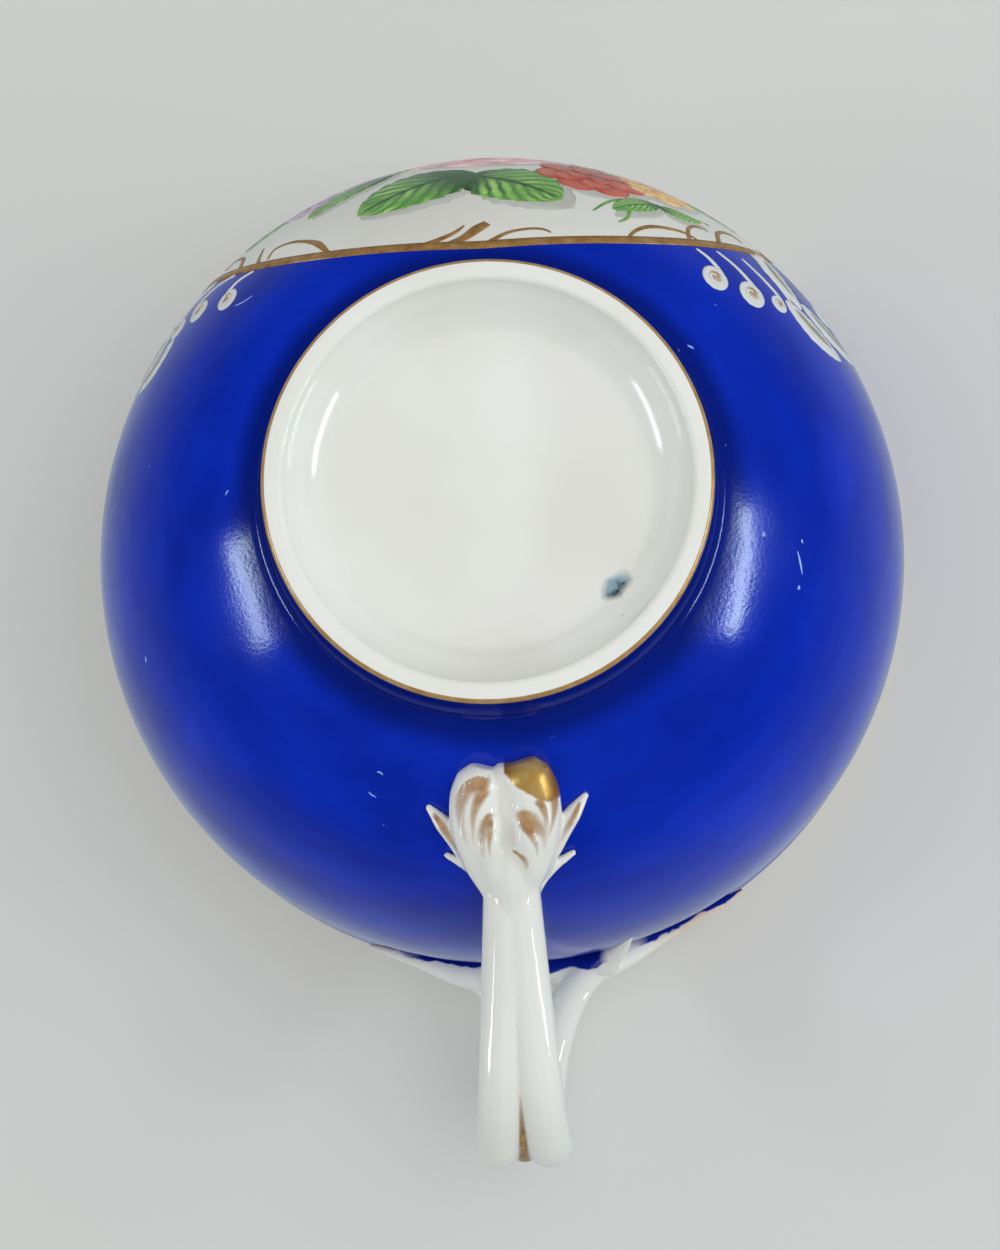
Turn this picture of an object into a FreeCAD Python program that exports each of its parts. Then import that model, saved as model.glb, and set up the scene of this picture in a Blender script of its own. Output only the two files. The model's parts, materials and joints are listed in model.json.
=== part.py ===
# Porcelain teacup: a hemispherical bowl on a low turned foot ring, with a forked branch handle.
# The handle's single stem springs from a leaf terminal low on the bowl, splits in two at its outer
# bend, and its two arms run over the top and out along the rim. The pieces are luted together with
# slip and fired as one, so nothing moves.
#
# Frame: millimetres, origin at the centre of the plane the foot stands on, +Z up through the mouth,
# +Y towards the handle. The cup is symmetric about the YZ plane, apart from the fork: its hand-set arms
# are turned a little to the right, and only the right arm has a leaf.
import FreeCAD
import Part
import Sketcher

import math
import os

# Driving dimensions, in millimetres and degrees. Angles called "polar" are measured from the
# bottom of the bowl's sphere, so that what lies on the bowl follows it when it grows.
SIZES = {
    # bowl
    "bowl_radius": 49.0,
    "rim_rise": 8.0,
    "rim_flare": 1.0,
    "wall": 2.6,
    "lip": 1.5,
    "lip_round": 0.6,
    "floor_thickness": 3.2,
    "floor_corner": 14.0,
    "base_dome": 0.5,
    # foot ring
    "foot_height": 4.9,
    "foot_top_radius": 23.4,
    "foot_edge_radius": 22.5,
    "foot_round": 0.6,
    "foot_land": 1.0,
    "foot_cove": 6.0,
    "recess_radius": 16.6,
    "recess_cove": 9.0,
    # handle stem
    "stem_root_polar": 42.5,
    "stem_root_depth": 1.5,
    "stem_root_climb": 25.0,
    "stem_root_pull": 14.0,
    "stem_root_width": 8.4,
    "stem_root_thickness": 5.0,
    "stem_neck_width": 5.8,
    "stem_neck_thickness": 5.0,
    "bend_reach": 20.6,
    "bend_drop": 9.5,
    "bend_pull": 12.0,
    "bend_thickness": 5.6,
    # the two arms of the fork
    "arm_width": 5.8,
    "arm_lap": 0.3,
    "arm_lean": 1.5,
    "arm_rise_pull": 8.0,
    "arm_drop": 4.4,
    "arm_stand_off": 0.6,
    "fork_twist": 2.8,
    "arm_land_angle": 9.5,
    "arm_land_pull": 6.0,
    "arm_land_width": 4.0,
    "arm_land_thickness": 4.0,
    "arm_tip_angle": 16.8,
    "arm_tip_width": 1.6,
    "arm_tip_thickness": 1.4,
    # leaf terminal at the stem's root
    "lobe_polar": 41.2,
    "lobe_azimuth": 5.2,
    "lobe_turn": 3.0,
    "lobe_length": 11.2,
    "lobe_width": 6.2,
    "lobe_height": 5.6,
    "side_leaf_polar": 45.2,
    "side_leaf_azimuth": 9.4,
    "side_leaf_turn": 31.0,
    "side_leaf_length": 9.4,
    "side_leaf_width": 2.4,
    "side_leaf_height": 3.0,
    "leaflet_polar": 51.4,
    "leaflet_azimuth": 6.6,
    "leaflet_turn": 52.0,
    "leaflet_length": 6.6,
    "leaflet_width": 1.9,
    "leaflet_height": 2.4,
    # pointed leaf below the right arm's landing
    "arm_leaf_polar": 86.0,
    "arm_leaf_azimuth": 13.0,
    "arm_leaf_turn": 28.0,
    "arm_leaf_length": 13.0,
    "arm_leaf_width": 3.4,
    "arm_leaf_height": 2.6,
}

# A leaf is the common part of two ellipsoids set apart sideways. Each ellipsoid is this many times
# wider than the leaf, which gives the leaf its two points.
LEAF_FULLNESS = 3.0
# The lip's two rounds take at most this share of its thickness each, so that they never meet.
LIP_ROUND_SHARE = 0.45
# Where the branches' sections stand, as shares of the way along each curve. The arms' are closest
# together in the tight turn over the bend.
STEM_STATIONS = (0.0, 0.2, 0.4, 0.6, 0.8, 1.0)
STEM_NECK = 0.2
ARM_STATIONS = (0.0, 0.05, 0.1, 0.16, 0.25, 0.36, 0.5, 0.67, 0.84, 1.0)
ARM_RIM_STATIONS = (0.35, 0.7, 1.0)


doc = FreeCAD.newDocument("Teacup")
sheet = doc.addObject("Spreadsheet::Sheet", "Sizes")
for row, (alias, number) in enumerate(SIZES.items(), start=1):
    sheet.set(f"A{row}", alias)
    sheet.set(f"B{row}", str(number))
    sheet.setAlias(f"B{row}", alias)
doc.recompute()


def size(alias):
    """The sheet's cell of that name, as it is written in a formula."""
    return f"Sizes.{alias}"


def value(formula):
    """What a formula comes to now."""
    return float(sheet.evalExpression(formula))


# Heights and radii that several pieces share, as formulas on the sheet.
SEAT = size("foot_height")
BOWL_RADIUS = size("bowl_radius")
BOWL_CENTRE = f"({SEAT} + sqrt({BOWL_RADIUS} ^ 2 - {size('foot_top_radius')} ^ 2))"
RIM_HEIGHT = f"({BOWL_CENTRE} + {size('rim_rise')})"
RIM_RADIUS = f"({BOWL_RADIUS} + {size('rim_flare')})"
INNER_RADIUS = f"({BOWL_RADIUS} - {size('wall')})"
MOUTH_RADIUS = f"({RIM_RADIUS} - {size('lip')})"
FLOOR_HEIGHT = f"({SEAT} + {size('base_dome')} + {size('floor_thickness')})"


def arc_through(step_out, step_along):
    """Radius of an arc that starts along one axis and drifts step_out in step_along."""
    return f"((({step_out}) ^ 2 + ({step_along}) ^ 2) / (2 * ({step_out})))"


# Sketches

def arc_between(first, second, radius, turn):
    """The short arc from first to second, as a counter-clockwise arc. turn is 1 for left, -1 for right."""
    chord = second - first
    middle = (first + second) * 0.5
    left = FreeCAD.Vector(-chord.y, chord.x, 0).normalize()
    centre = middle + left * (turn * math.sqrt(max(radius**2 - chord.Length**2 / 4, 0)))
    angle = [math.atan2(p.y - centre.y, p.x - centre.x) for p in (first, second)]
    if turn < 0:
        angle.reverse()
    return Part.ArcOfCircle(Part.Circle(centre, FreeCAD.Vector(0, 0, 1), radius), *angle)


def half_section(body, name, corners):
    """A closed sketch on the body's XZ plane. Each corner is (r, z, edge): edge is None where a straight
    line follows, or (radius, turn) where an arc follows. All are formulas, apart from turn."""
    # a sketch knows its own axes and the two ends of an edge by these numbers
    level_axis, upright_axis = -1, -2
    edge_start, edge_end = 1, 2
    sketch = body.newObject("Sketcher::SketchObject", name)
    plane = next(f for f in body.Origin.OriginFeatures if f.Role == "XZ_Plane")
    sketch.AttachmentSupport = [(plane, "")]
    sketch.MapMode = "FlatFace"
    points = [FreeCAD.Vector(value(r), value(z), 0) for r, z, _ in corners]
    ends = []
    for i, (_, _, edge) in enumerate(corners):
        first, second = points[i], points[(i + 1) % len(points)]
        if edge is None:
            geometry = Part.LineSegment(first, second)
            order = (edge_start, edge_end)
        else:
            geometry = arc_between(first, second, value(edge[0]), edge[1])
            order = (edge_start, edge_end) if edge[1] > 0 else (edge_end, edge_start)
        ends.append((sketch.addGeometry(geometry, False), *order))

    def tie(kind, label, formula, *where):
        index = sketch.addConstraint(Sketcher.Constraint(kind, *where, value(formula)))
        sketch.renameConstraint(index, label)
        sketch.setExpression(f"Constraints.{label}", formula)

    for i, (edge_id, first, _) in enumerate(ends):
        before_id, _, before_end = ends[i - 1]
        sketch.addConstraint(Sketcher.Constraint("Coincident", before_id, before_end, edge_id, first))
        r, z, edge = corners[i]
        if points[i].x == 0:
            sketch.addConstraint(Sketcher.Constraint("PointOnObject", edge_id, first, upright_axis))
        else:
            tie("DistanceX", f"r{i}", r, edge_id, first)
        if points[i].y == 0:
            sketch.addConstraint(Sketcher.Constraint("PointOnObject", edge_id, first, level_axis))
        else:
            tie("DistanceY", f"z{i}", z, edge_id, first)
        if edge is not None:
            tie("Radius", f"arc{i}", edge[0], edge_id)
    return sketch


def turned(name, corners):
    """A body made by turning a half section once round the Z axis."""
    body = doc.addObject("PartDesign::Body", name)
    sketch = half_section(body, f"{name}_section", corners)
    turn = body.newObject("PartDesign::Revolution", f"{name}_turn")
    turn.Profile = sketch
    turn.ReferenceAxis = (sketch, ["V_Axis"])
    turn.Angle = 360
    doc.recompute()
    return body


def rounded(body, name, height, formula):
    """Rounds the body's circular edges that lie at that height."""
    level = value(height)
    base = body.Tip
    edges = [
        f"Edge{i}"
        for i, edge in enumerate(base.Shape.Edges, start=1)
        if max(abs(v.Point.z - level) for v in edge.Vertexes) < 1e-6 and len(edge.Vertexes) == 1
    ]
    fillet = body.newObject("PartDesign::Fillet", name)
    fillet.Base = (base, edges)
    fillet.setExpression("Radius", formula)
    doc.recompute()


# Bowl

OUTER_WALL = [
    (size("foot_top_radius"), SEAT, (BOWL_RADIUS, 1)),
    (BOWL_RADIUS, BOWL_CENTRE, (arc_through(size("rim_flare"), size("rim_rise")), -1)),
    (RIM_RADIUS, RIM_HEIGHT, None),
]


def make_bowl():
    inner_flare = f"({MOUTH_RADIUS} - {INNER_RADIUS})"
    inner_drop = f"({BOWL_CENTRE} - {FLOOR_HEIGHT})"
    corners = [
        ("0", f"{SEAT} + {size('base_dome')}", (arc_through(size("base_dome"), size("recess_radius")), -1)),
        (size("recess_radius"), SEAT, None),
        *OUTER_WALL,
        (MOUTH_RADIUS, RIM_HEIGHT, (arc_through(inner_flare, size("rim_rise")), 1)),
        (INNER_RADIUS, BOWL_CENTRE, (INNER_RADIUS, -1)),
        (f"sqrt({INNER_RADIUS} ^ 2 - {inner_drop} ^ 2)", FLOOR_HEIGHT, None),
        ("0", FLOOR_HEIGHT, None),
    ]
    body = turned("bowl", corners)
    rounded(body, "bowl_lip", RIM_HEIGHT, f"min({size('lip_round')}; {LIP_ROUND_SHARE} * {size('lip')})")
    rounded(body, "bowl_floor_corner", FLOOR_HEIGHT, size("floor_corner"))
    return body


def make_bowl_block():
    """The bowl's outside filled solid. What is luted to the bowl is trimmed to it."""
    return turned("bowl_block", [("0", SEAT, None), *OUTER_WALL, ("0", RIM_HEIGHT, None)])


# Foot ring

def make_foot_ring():
    edge = size("foot_edge_radius")
    round_ = size("foot_round")
    land_outer = f"({edge} - {round_})"
    land_inner = f"({land_outer} - {size('foot_land')})"
    corners = [
        (land_inner, "0", None),
        (land_outer, "0", (round_, 1)),
        (edge, round_, (size("foot_cove"), -1)),
        (size("foot_top_radius"), SEAT, None),
        (size("recess_radius"), SEAT, (size("recess_cove"), -1)),
        (f"{land_inner} - {round_}", round_, (round_, 1)),
    ]
    return turned("foot_ring", corners)


# Lofted branches

def bezier(start, lead_out, lead_in, end, at):
    """A point of a cubic curve and its direction there, each as three formulas."""
    back = 1 - at
    weights = (back**3, 3 * back**2 * at, 3 * back * at**2, at**3)
    rates = (-3 * back**2, 3 * back**2 - 6 * back * at, 6 * back * at - 3 * at**2, 3 * at**2)

    def mixed(shares):
        sums = []
        for column in zip(start, lead_out, lead_in, end):
            terms = [f"{share:.6f} * ({formula})" for share, formula in zip(shares, column)]
            sums.append(f"({' + '.join(terms)})")
        return sums

    return mixed(weights), mixed(rates)


def between(first, second, share):
    """The formula that lies that share of the way from first to second."""
    return f"(({first}) + ({share:.6f}) * (({second}) - ({first})))"


def direction_angles(direction):
    """Heading from +Y towards +X, and climb above the horizontal, of a direction."""
    along_x, along_y, along_z = direction
    heading = f"(atan2({along_x}; {along_y}) / 1 deg)"
    climb = f"(atan2({along_z}; sqrt({along_x} ^ 2 + {along_y} ^ 2)) / 1 deg)"
    return heading, climb


def oval(name, centre, heading, climb, width, thickness):
    """An oval section square to a branch that runs that way. Its width stays level."""
    section = doc.addObject("Part::Ellipse", name)
    section.setExpression("MajorRadius", f"max({width}; {thickness}) / 2")
    section.setExpression("MinorRadius", f"min({width}; {thickness}) / 2")
    upright = f"rotation(vector(0; 0; 1); ({thickness}) > ({width}) ? 90 : 0)"
    facing = f"rotation(-({heading}); 0; ({climb}) - 90)"
    section.setExpression("Placement", f"placement(vector({'; '.join(centre)}); {facing} * {upright})")
    return section


def loft(name, sections):
    branch = doc.addObject("Part::Loft", name)
    branch.Sections = sections
    branch.Solid = True
    return branch


def cut(name, base, *tools):
    """The base with each tool taken out of it in turn."""
    for i, tool in enumerate(tools, start=1):
        trimmed = doc.addObject("Part::Cut", name if i == len(tools) else f"{name}_trim_{i}")
        trimmed.Base = base
        trimmed.Tool = tool
        base = trimmed
    return base


def mirrored(name, source):
    """The same piece on the other side of the YZ plane."""
    copy = doc.addObject("Part::Mirroring", name)
    copy.Source = source
    copy.Normal = (1, 0, 0)
    return copy


def on_bowl(polar, azimuth, radius=BOWL_RADIUS):
    """A point of the bowl's sphere, or of one of another radius about the same centre."""
    out = f"({radius}) * sin({polar})"
    return [
        f"({out}) * sin({azimuth})",
        f"({out}) * cos({azimuth})",
        f"({BOWL_CENTRE}) - ({radius}) * cos({polar})",
    ]


BEND_Y = f"({BOWL_RADIUS} + {size('bend_reach')})"
BEND_HEIGHT = f"({RIM_HEIGHT} - {size('bend_drop')})"
BEND_WIDTH = f"(2 * {size('arm_width')} - 2 * {size('arm_lap')})"


def make_stem(bowl_block):
    root = on_bowl(size("stem_root_polar"), "0", f"{BOWL_RADIUS} - {size('stem_root_depth')}")
    climb = size("stem_root_climb")
    pull = size("stem_root_pull")
    lead_out = ["0", f"{root[1]} + {pull} * cos({climb})", f"{root[2]} + {pull} * sin({climb})"]
    bend = ["0", BEND_Y, BEND_HEIGHT]
    lead_in = ["0", BEND_Y, f"{BEND_HEIGHT} - {size('bend_pull')}"]
    sections = []
    for i, at in enumerate(STEM_STATIONS):
        centre, direction = bezier(root, lead_out, lead_in, bend, at)
        heading, climb_here = direction_angles(direction)
        if at <= STEM_NECK:
            widths = (size("stem_root_width"), size("stem_neck_width"))
            thicknesses = (size("stem_root_thickness"), size("stem_neck_thickness"))
            share = at / STEM_NECK
        else:
            widths = (size("stem_neck_width"), BEND_WIDTH)
            thicknesses = (size("stem_neck_thickness"), size("bend_thickness"))
            share = (at - STEM_NECK) / (1 - STEM_NECK)
        width, thickness = between(*widths, share), between(*thicknesses, share)
        sections.append(oval(f"stem_section_{i}", centre, heading, climb_here, width, thickness))
    return cut("handle_stem", loft("stem_loft", sections), bowl_block)


def make_arm(node, side, *tools):
    """One arm, from the stem's end over the top to its landing on the rim, then along the rim.
    side is 1 for the right arm and -1 for the left."""
    offset = f"{side} * ({size('arm_width')} / 2 - {size('arm_lap')})"
    height = f"({RIM_HEIGHT} - {size('arm_drop')})"
    run_radius = f"({RIM_RADIUS} + {size('arm_stand_off')})"
    land_angle = f"({size('fork_twist')} + {side} * {size('arm_land_angle')})"
    tip_angle = f"({size('fork_twist')} + {side} * {size('arm_tip_angle')})"
    start = [offset, BEND_Y, BEND_HEIGHT]
    lead_out = [offset, f"{BEND_Y} - {size('arm_lean')}", f"{BEND_HEIGHT} + {size('arm_rise_pull')}"]
    landing = [f"{run_radius} * sin({land_angle})", f"{run_radius} * cos({land_angle})", height]
    lead_in = [
        f"{landing[0]} - {side} * {size('arm_land_pull')} * cos({land_angle})",
        f"{landing[1]} + {side} * {size('arm_land_pull')} * sin({land_angle})",
        height,
    ]
    sections = []
    for i, at in enumerate(ARM_STATIONS):
        centre, direction = bezier(start, lead_out, lead_in, landing, at)
        heading, climb = direction_angles(direction) if at else ("180", "90")
        width = between(size("arm_width"), size("arm_land_width"), at)
        thickness = between(size("bend_thickness"), size("arm_land_thickness"), at)
        sections.append(oval(f"{node}_section_{i}", centre, heading, climb, width, thickness))
    for i, share in enumerate(ARM_RIM_STATIONS, start=len(sections)):
        angle = between(land_angle, tip_angle, share)
        radius = between(run_radius, BOWL_RADIUS, share)
        centre = [f"{radius} * sin({angle})", f"{radius} * cos({angle})", height]
        width = between(size("arm_land_width"), size("arm_tip_width"), share)
        thickness = between(size("arm_land_thickness"), size("arm_tip_thickness"), share)
        sections.append(oval(f"{node}_section_{i}", centre, f"{90 * side} + {angle}", "0", width, thickness))
    return cut(node, loft(f"{node}_loft", sections), *tools)


# Leaves

def ellipsoid(name, centre, polar, azimuth, turn, length, width, height):
    """An ellipsoid on the bowl: height along the bowl's normal, length down the bowl, its lower end turned
    outwards about the normal."""
    solid = doc.addObject("Part::Ellipsoid", name)
    solid.setExpression("Radius1", f"({height}) / 2")
    solid.setExpression("Radius2", f"({width}) / 2")
    solid.setExpression("Radius3", f"({length}) / 2")
    facing = f"rotation(-({azimuth}); 0; ({polar}) - 180) * rotation(vector(0; 0; 1); -({turn}))"
    solid.setExpression("Placement", f"placement(vector({'; '.join(centre)}); {facing})")
    return solid


def make_lobe(bowl_block, stem):
    polar, azimuth = size("lobe_polar"), size("lobe_azimuth")
    sizes = [size(f"lobe_{what}") for what in ("length", "width", "height")]
    whole = ellipsoid("lobe_whole", on_bowl(polar, azimuth), polar, azimuth, size("lobe_turn"), *sizes)
    # a block that fills the left half of the cup's space, so that the two lobes meet in the middle
    left_half = doc.addObject("Part::Box", "left_half")
    for side in ("Length", "Width", "Height"):
        left_half.setExpression(side, f"2 * {BEND_Y}")
    corner = f"vector(-2 * {BEND_Y}; -{BEND_Y}; -{BEND_Y})"
    left_half.setExpression("Placement", f"placement({corner}; rotation(0; 0; 0))")
    return cut("leaf_lobe_right", whole, bowl_block, stem, left_half)


def make_leaf(node, kind, *tools):
    """A pointed leaf lying on the bowl, trimmed to what it is luted to."""
    polar, azimuth, turn = (size(f"{kind}_{what}") for what in ("polar", "azimuth", "turn"))
    length, width, height = (size(f"{kind}_{what}") for what in ("length", "width", "height"))
    wide = f"({LEAF_FULLNESS} * {width})"
    apart = f"(({wide} - {width}) / 2)"
    long = f"({length} / sqrt(1 - ({LEAF_FULLNESS - 1} / {LEAF_FULLNESS}) ^ 2))"
    point = on_bowl(polar, azimuth)
    across = [
        f"cos({turn}) * cos({azimuth}) + sin({turn}) * cos({polar}) * sin({azimuth})",
        f"-cos({turn}) * sin({azimuth}) + sin({turn}) * cos({polar}) * cos({azimuth})",
        f"sin({turn}) * sin({polar})",
    ]
    halves = []
    for i, sign in enumerate((1, -1)):
        centre = [f"{p} + {sign} * {apart} * ({a})" for p, a in zip(point, across)]
        halves.append(ellipsoid(f"{kind}_half_{i}", centre, polar, azimuth, turn, long, wide, height))
    leaf = doc.addObject("Part::Common", f"{kind}_whole")
    leaf.Base, leaf.Tool = halves
    return cut(node, leaf, *tools)


# Assembly

bowl = make_bowl()
bowl_block = make_bowl_block()
foot_ring = make_foot_ring()
stem = make_stem(bowl_block)
arm_right = make_arm("handle_arm_right", 1, bowl_block)
arm_left = make_arm("handle_arm_left", -1, bowl_block, arm_right)
arm_leaf = make_leaf("arm_leaf_right", "arm_leaf", bowl_block, arm_right)
lobe = make_lobe(bowl_block, stem)
side_leaf = make_leaf("side_leaf_right", "side_leaf", bowl_block, stem, lobe)
leaflet = make_leaf("leaflet_right", "leaflet", bowl_block, stem, lobe, side_leaf)
pieces = [bowl, foot_ring, stem, arm_right, arm_left, arm_leaf, lobe, side_leaf, leaflet]
pieces.append(mirrored("leaf_lobe_left", lobe))
pieces.append(mirrored("side_leaf_left", side_leaf))
pieces.append(mirrored("leaflet_left", leaflet))
doc.recompute()


# Check and export

failed = [o.Name for o in doc.Objects if {"Invalid", "Error"} & set(o.State)]
if failed:
    raise RuntimeError(f"these objects failed: {failed}")
os.makedirs("parts", exist_ok=True)
for piece in pieces:
    if piece.Shape.isNull() or not piece.Shape.isValid():
        raise RuntimeError(f"{piece.Label} has no valid shape")
    piece.Shape.exportStep(f"parts/{piece.Label}.step")
    print(f"{piece.Label}: {len(piece.Shape.Solids)} solid, {piece.Shape.Volume:.1f} mm3")
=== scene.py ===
# %% [markdown]
# # A porcelain teacup with a forked branch handle
# The cup is a thrown bowl on a turned foot, with a pressed handle that springs from a leaf. The outside is
# cobalt with a white reserve for a painted bouquet, and the edges are gilt. It was photographed upside
# down, so the camera here stands under the upright cup. The CAD model gives every size, and this script
# adds glaze, paint and gold.

import json
import math

import bmesh
import bpy
from mathutils import Matrix, Vector
from mathutils.bvhtree import BVHTree

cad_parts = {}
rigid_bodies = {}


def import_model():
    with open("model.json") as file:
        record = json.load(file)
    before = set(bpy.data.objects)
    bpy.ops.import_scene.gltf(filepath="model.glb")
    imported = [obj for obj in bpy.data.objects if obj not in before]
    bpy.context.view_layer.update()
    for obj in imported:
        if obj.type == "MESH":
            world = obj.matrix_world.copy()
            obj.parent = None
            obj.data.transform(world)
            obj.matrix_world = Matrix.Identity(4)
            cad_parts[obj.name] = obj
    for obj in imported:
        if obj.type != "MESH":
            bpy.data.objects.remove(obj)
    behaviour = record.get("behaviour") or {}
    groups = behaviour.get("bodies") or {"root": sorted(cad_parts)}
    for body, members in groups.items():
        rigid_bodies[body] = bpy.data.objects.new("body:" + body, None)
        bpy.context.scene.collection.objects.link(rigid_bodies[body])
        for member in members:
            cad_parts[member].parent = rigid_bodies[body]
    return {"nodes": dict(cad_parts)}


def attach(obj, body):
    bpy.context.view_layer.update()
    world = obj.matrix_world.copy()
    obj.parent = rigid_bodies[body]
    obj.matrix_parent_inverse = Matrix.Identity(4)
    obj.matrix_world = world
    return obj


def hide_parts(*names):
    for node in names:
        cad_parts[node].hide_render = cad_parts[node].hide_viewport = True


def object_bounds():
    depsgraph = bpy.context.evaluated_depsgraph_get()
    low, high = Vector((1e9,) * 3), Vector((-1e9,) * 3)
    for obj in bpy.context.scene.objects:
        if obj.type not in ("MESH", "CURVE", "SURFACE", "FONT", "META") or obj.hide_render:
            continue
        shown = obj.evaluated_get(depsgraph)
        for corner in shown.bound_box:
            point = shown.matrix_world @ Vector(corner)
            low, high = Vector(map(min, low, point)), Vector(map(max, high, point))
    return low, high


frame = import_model()
cad_low, cad_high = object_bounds()
MM = 0.001
print("CAD nodes:", len(frame["nodes"]))
print("CAD box in mm:", [round(value / MM, 1) for value in (*cad_low, *cad_high)])

# %% [markdown]
# ## Measures of the bowl
# The bowl is part of a sphere that turns into a short outward flare at the rim. Everything painted on it
# follows that wall, so one function gives the wall's radius at a height, and others turn an angle and a
# height into a spot. Angles start at the middle of the reserve, which faces -Y, and grow towards +X.

# %% The bowl's wall
RIM_HEIGHT = cad_high.z / MM
BOWL_RADIUS = 49
FLARE_RISE = 8
FLARE_RADIUS = 32.5
SEAT = 4.9
BOWL_CENTRE = Vector((0, 0, RIM_HEIGHT - FLARE_RISE))


def wall_radius(height):
    """Outside radius of the bowl at a height, in mm."""
    rise = height - BOWL_CENTRE.z
    if rise <= 0:
        return math.sqrt(max(BOWL_RADIUS**2 - rise**2, 0))
    return BOWL_RADIUS + FLARE_RADIUS - math.sqrt(FLARE_RADIUS**2 - rise**2)


def drop_on_wall(spot, lift):
    """The point of the wall under a spot, raised by lift."""
    if spot.z > BOWL_CENTRE.z:
        flat = Vector((spot.x, spot.y, 0)).normalized()
        return flat * (wall_radius(spot.z) + lift) + Vector((0, 0, spot.z))
    return BOWL_CENTRE + (spot - BOWL_CENTRE).normalized() * (BOWL_RADIUS + lift)


def on_wall(angle, height):
    """The wall's point at an angle in degrees and a height."""
    turn = math.radians(angle)
    radius = wall_radius(height)
    return Vector((radius * math.sin(turn), -radius * math.cos(turn), height))


print("radius at the foot and the rim:", round(wall_radius(SEAT), 2), round(wall_radius(RIM_HEIGHT), 2))

# %% [markdown]
# ## Small helpers for nodes
# A material is a tree of nodes. These helpers add one node or a few at a time and give back the result, so
# that a finish reads like a sum. Each finds its tree by the node or socket that it's given. Colours are
# named by the 0 to 255 values that a screen shows, and turned into linear light.


# %% Node helpers
def link(value, node, socket):
    """Links a value to a named or numbered input of a node."""
    node.id_data.links.new(value, node.inputs[socket])


def wire(owner, kind, inputs=None, **settings):
    """Adds a node to the tree that owner is in, links or sets its inputs, and returns it."""
    node = owner.id_data.nodes.new("ShaderNode" + kind)
    for name, value in settings.items():
        setattr(node, name, value)
    for socket, value in (inputs or {}).items():
        if isinstance(value, bpy.types.NodeSocket):
            link(value, node, socket)
        else:
            node.inputs[socket].default_value = value
    return node


def maths(operation, *values):
    """Adds one Math node and returns its result; one of the values at least comes from a node."""
    owner = next(value for value in values if isinstance(value, bpy.types.NodeSocket))
    return wire(owner, "Math", dict(enumerate(values)), operation=operation).outputs[0]


def times(product, *factors):
    """The product of two values or more."""
    for factor in factors:
        product = maths("MULTIPLY", product, factor)
    return product


def away(value, middle):
    """How far a value lies from a middle, on either side."""
    return maths("ABSOLUTE", maths("SUBTRACT", value, middle))


def distance(across, along):
    """Length of the straight way to a spot that lies so far across and along."""
    return maths("SQRT", maths("ADD", maths("POWER", across, 2), maths("POWER", along, 2)))


def between(value, low, high):
    """0 below low, 1 above high, and a straight climb from one to the other."""
    return wire(value, "MapRange", {0: value, 1: low, 2: high}).outputs[0]


def mixed(share, first, second):
    """Mixes two colours and returns the result."""
    return wire(share, "Mix", {0: share, 6: first, 7: second}, data_type="RGBA").outputs[2]


def noise(place, scale, detail=2):
    """A soft random value between 0 and 1."""
    return wire(place, "TexNoise", {"Vector": place, "Scale": scale, "Detail": detail}).outputs[0]


print("node helpers ready")


# %% Colours, places and finishes
def shade(red, green, blue):
    """A screen colour as the linear colour that nodes use."""
    linear = []
    for value in (red / 255, green / 255, blue / 255):
        linear.append(value / 12.92 if value <= 0.04045 else ((value + 0.055) / 1.055) ** 2.4)
    return (*linear, 1)


def object_place(owner):
    """Object coordinates, in metres."""
    return wire(owner, "TexCoord").outputs["Object"]


def place_in_mm(owner):
    """Object coordinates, and the same in millimetres as three values."""
    place = object_place(owner)
    scaled = wire(owner, "VectorMath", {0: place, 1: (1000, 1000, 1000)}, operation="MULTIPLY").outputs[0]
    return place, wire(owner, "SeparateXYZ", {0: scaled}).outputs


def place_on_mark(owner):
    """How far along and across a brush mark a spot lies, each from 0 to 1."""
    return wire(owner, "SeparateXYZ", {0: wire(owner, "TexCoord").outputs["UV"]}).outputs[:2]


def new_finish(name, roughness, metallic=0):
    """A material and its Principled shader."""
    material = bpy.data.materials.new(name)
    material.use_nodes = True
    surface = material.node_tree.nodes["Principled BSDF"]
    surface.inputs["Roughness"].default_value = roughness
    surface.inputs["Metallic"].default_value = metallic
    return material, surface


print("a middle grey in linear light:", round(shade(128, 128, 128)[0], 3))

# %% [markdown]
# ## The glaze
# A fired glaze is never quite even: it pools, its colour drifts a little, and its surface ripples so that
# highlights waver. Every glazed and enamelled finish on the cup shares that, so it is one node group with
# three values that change over the surface.


# %% Glaze group
def new_group(name, inputs, outputs):
    """A node group with sockets of the given kinds, the sockets at its start and the node at its end."""
    group = bpy.data.node_groups.new(name, "ShaderNodeTree")
    for direction, sockets in (("INPUT", inputs), ("OUTPUT", outputs)):
        for socket, kind in sockets.items():
            group.interface.new_socket(socket, in_out=direction, socket_type="NodeSocket" + kind)
    return group, group.nodes.new("NodeGroupInput").outputs, group.nodes.new("NodeGroupOutput")


def make_glaze_surface():
    """Node group that gives the drift of tone, the roughness and the ripple of a glaze."""
    values = {"Tone": "Float", "Roughness": "Float", "Height": "Float"}
    group, entry, leave = new_group("glaze_surface", {"Smooth": "Float", "Grain": "Float"}, values)
    place = object_place(group)
    clouds = noise(place, 55, 3)
    ripple = maths("MULTIPLY_ADD", noise(place, 2200, 1), entry["Grain"], noise(place, 130, 1))
    link(between(clouds, 0.3, 0.7), leave, "Tone")
    link(maths("MULTIPLY_ADD", clouds, 0.12, entry["Smooth"]), leave, "Roughness")
    link(ripple, leave, "Height")
    return group


GLAZE = make_glaze_surface()
RIPPLE_HEIGHT = 0.0006


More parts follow.
